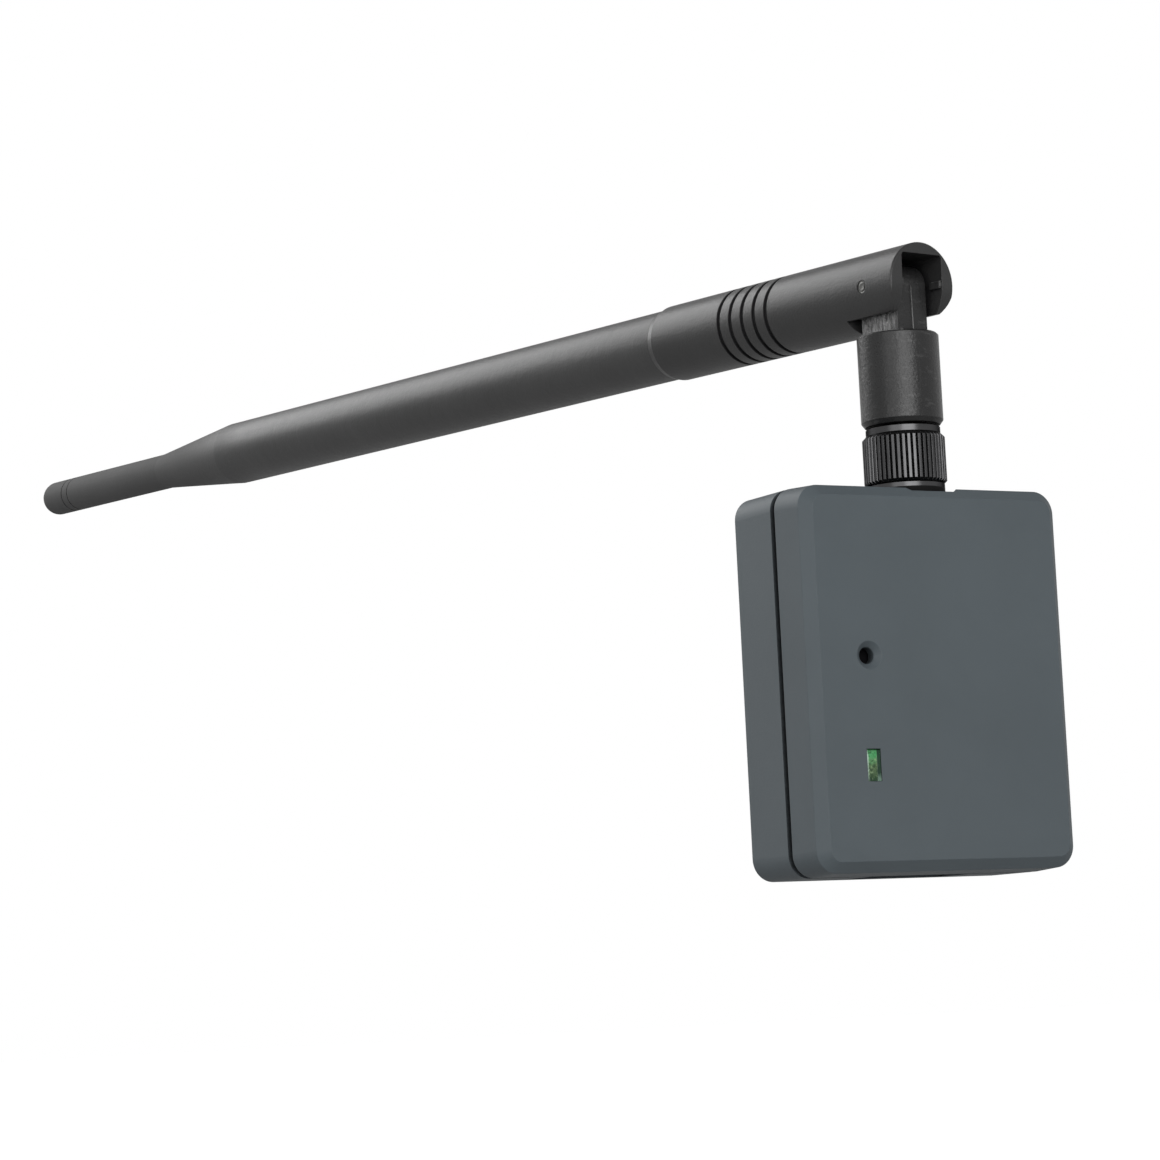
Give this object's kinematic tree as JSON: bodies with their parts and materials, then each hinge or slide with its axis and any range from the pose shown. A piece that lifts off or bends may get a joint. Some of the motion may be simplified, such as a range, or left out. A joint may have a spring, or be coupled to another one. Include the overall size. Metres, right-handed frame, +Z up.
{
  "type": "smart garage door opener",
  "caption": "Small two-shell radio controller for a garage door, with a status window, a button hole and a hinged, swivelling rod antenna on top.",
  "frame": {"origin": "centre of the flat back face, which is fixed to the door motor or a wall", "axes": "+Z up along the antenna jack, -Y out of the front face, +X to the right seen from the front"},
  "size_m": [0.0526, 0.2509, 0.088],
  "materials": {
    "shell_plastic": "fine satin grain",
    "antenna_plastic": "satin, soft sheen along the top",
    "black_nickel": "dark bright plating",
    "pin_steel": "cut end, dull",
    "screw_steel": "plated",
    "washer_rubber": "matt",
    "connector_white": "smooth",
    "contact_gold": "bright",
    "board_green": "lacquered",
    "can_steel": "tinned",
    "chip_black": "moulded",
    "relay_blue": "moulded",
    "can_aluminium": "drawn",
    "ferrite": "pressed",
    "lamp_white": "moulded",
    "light_clear": "clear moulding",
    "header_black": "moulded",
    "cable_black": "extruded"
  },
  "bodies": {
    "case": {"front_shell": "shell_plastic", "rear_shell": "shell_plastic", "case_screws": "screw_steel", "circuit_board": "board_green", "button_base": "chip_black", "status_led": "lamp_white", "light_guide": "light_clear", "radio_module": "board_green", "module_shield": "can_steel", "chip_parts": "chip_black", "relay": "relay_blue", "reservoir_capacitor": "can_aluminium", "voltage_regulator": "chip_black", "power_inductor": "ferrite", "optical_coupler": "lamp_white", "wiring_header": "header_black", "header_pins": "contact_gold", "jack_body": "black_nickel", "jack_washer": "washer_rubber", "jack_insulator": "connector_white", "jack_contact": "contact_gold", "antenna_plug": "black_nickel", "plug_insulator": "connector_white", "plug_contact": "contact_gold"},
    "button": {"button_plunger": "chip_black"},
    "nut": {"coupling_nut": "black_nickel"},
    "swivel": {"swivel_sleeve": "antenna_plastic"},
    "antenna": {"base_tube": "antenna_plastic", "hinge_pin": "pin_steel", "mast_sheath": "antenna_plastic", "tip_cap": "antenna_plastic", "feed_cable": "cable_black", "radiator_sleeve": "contact_gold", "radiator_wire": "contact_gold"}
  },
  "joints": [
    {"name": "button_press", "type": "slide", "parent": "case", "child": "button", "axis": [0, 1, 0], "range_m": [0, 0.00025], "stiffness_N_per_m": 4000, "springref_m": -0.0001},
    {"name": "nut_turn", "type": "hinge", "parent": "case", "child": "nut", "pos_m": [0.00075, -0.00985, 0.03], "axis": [0, 0, 1], "continuous": true},
    {"name": "antenna_swivel", "type": "hinge", "parent": "case", "child": "swivel", "pos_m": [0.00075, -0.00985, 0.04], "axis": [0, 0, 1], "continuous": true},
    {"name": "antenna_elbow", "type": "hinge", "parent": "swivel", "child": "antenna", "pos_m": [0.0007, -0.00943, 0.05274], "axis": [0.9923, 0.1236, 0], "range_deg": [-1.54, 88.46]}
  ]
}
